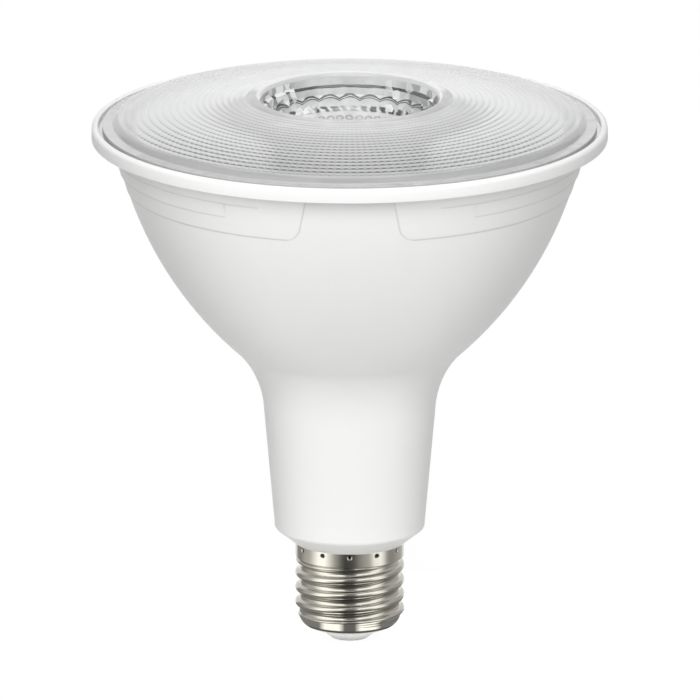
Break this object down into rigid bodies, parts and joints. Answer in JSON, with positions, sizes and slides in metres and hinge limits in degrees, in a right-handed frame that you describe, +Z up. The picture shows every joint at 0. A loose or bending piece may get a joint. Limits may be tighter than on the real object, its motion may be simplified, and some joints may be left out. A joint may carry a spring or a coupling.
{
  "type": "par spotlight bulb",
  "caption": "Reflector lamp with a white tapered housing, a clear pillow-patterned lens with a stepped centre well, and a nickel screw cap",
  "frame": {"origin": "lowest point of the centre contact, on the lamp's axis", "axes": "+Z up the lamp's axis from the contact to the lens, -Y to the front that the picture shows, +X to the right seen from the front; right-handed"},
  "size_m": [0.124, 0.124, 0.1347],
  "materials": {
    "nickel_cap": "nickel-plated brass shell, satin",
    "contact_tin": "tinned brass, dull",
    "insulator_white": "white insulator, slightly glossy",
    "housing_white": "white moulded plastic, satin",
    "lens_clear": "clear moulded plastic with a fine pillow pattern",
    "dish_aluminium": "pressed aluminium, plain",
    "board_white": "metal-core board under white solder resist",
    "chip_phosphor": "yellow phosphor over the light sources",
    "screw_steel": "zinc-plated steel",
    "reflector_white": "white moulded plastic, glossy",
    "sleeve_film": "folded insulating sheet, milky",
    "driver_green": "green fibre board",
    "ferrite": "dark grey ferrite",
    "winding_tape": "yellow winding tape",
    "can_black": "dark shrink sleeve over the can",
    "film_box": "red moulded box",
    "package_black": "black moulding compound",
    "fuse_body": "grey-green lacquer",
    "surge_blue": "blue dipped lacquer",
    "pin_tin": "tinned square wire",
    "lead_red": "red insulated lead",
    "lead_black": "black insulated lead"
  },
  "bodies": {
    "root": {"cap_shell": "nickel_cap", "cap_insulator": "insulator_white", "centre_contact": "contact_tin", "housing": "housing_white", "lens": "lens_clear", "heat_dish": "dish_aluminium", "light_board": "board_white", "light_chips": "chip_phosphor", "board_screws": "screw_steel", "reflector": "reflector_white", "driver_sleeve": "sleeve_film", "driver_board": "driver_green", "transformer_core": "ferrite", "transformer_winding": "winding_tape", "input_capacitor": "can_black", "output_capacitor": "can_black", "film_capacitor": "film_box", "filter_choke": "ferrite", "bridge_rectifier": "package_black", "driver_chip": "package_black", "fuse_resistor": "fuse_body", "surge_disc": "surge_blue", "board_pins": "pin_tin", "live_lead": "lead_red", "neutral_lead": "lead_black"}
  },
  "joints": []
}
